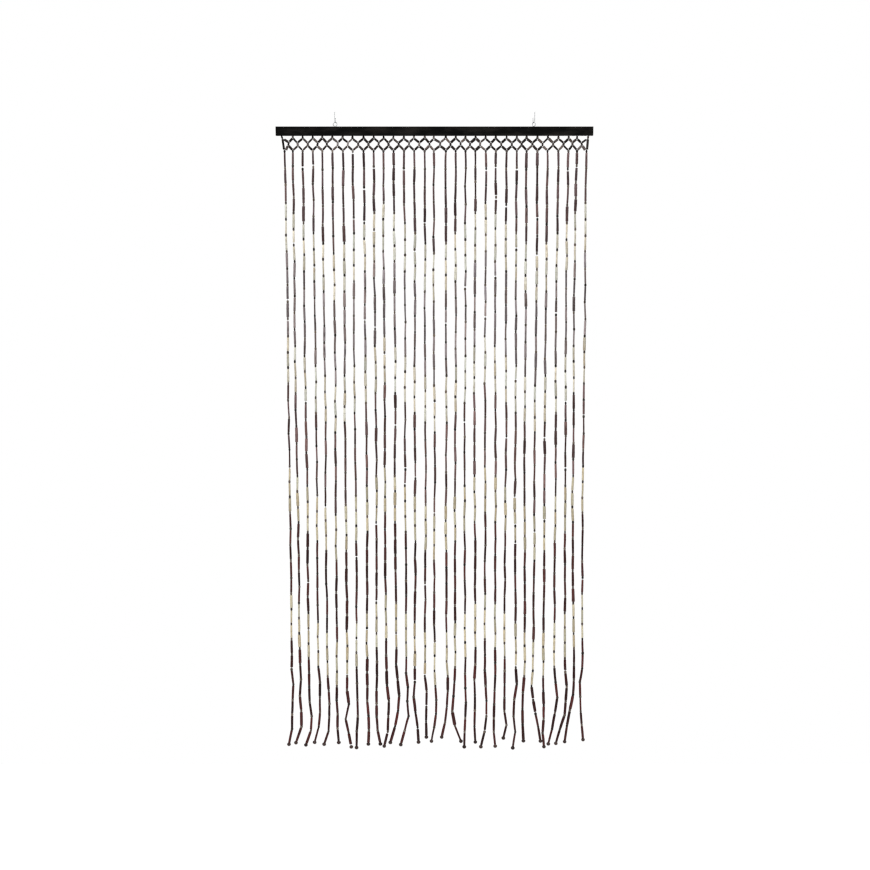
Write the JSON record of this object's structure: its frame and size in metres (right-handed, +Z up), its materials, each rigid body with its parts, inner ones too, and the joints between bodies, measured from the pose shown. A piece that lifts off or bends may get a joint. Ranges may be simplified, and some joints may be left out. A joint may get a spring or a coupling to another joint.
{
  "type": "bamboo bead door curtain on a rail with hooks",
  "caption": "Hanging door curtain: strands of dark bamboo tubes with pale zigzag bands, under a black wooden rail with a diamond net heading, screw eyes and wire hooks.",
  "frame": {"origin": "midway between the two hooks, level with their tops, which is the underside of whatever the curtain hangs from", "axes": "+Z up, +X along the rail to the right of someone facing the front, +Y towards the back"},
  "size_m": [1, 0.0222, 2.0766],
  "materials": {
    "rail_paint": "black satin paint over wood grain",
    "bamboo": "dark stained and natural bamboo tubes, lacquered",
    "wire": "zinc plated wire"
  },
  "bodies": {
    "root": {"rail": "rail_paint", "bead_net": "bamboo", "eye_left": "wire", "eye_right": "wire", "hook_left": "wire", "hook_right": "wire"}
  },
  "joints": []
}
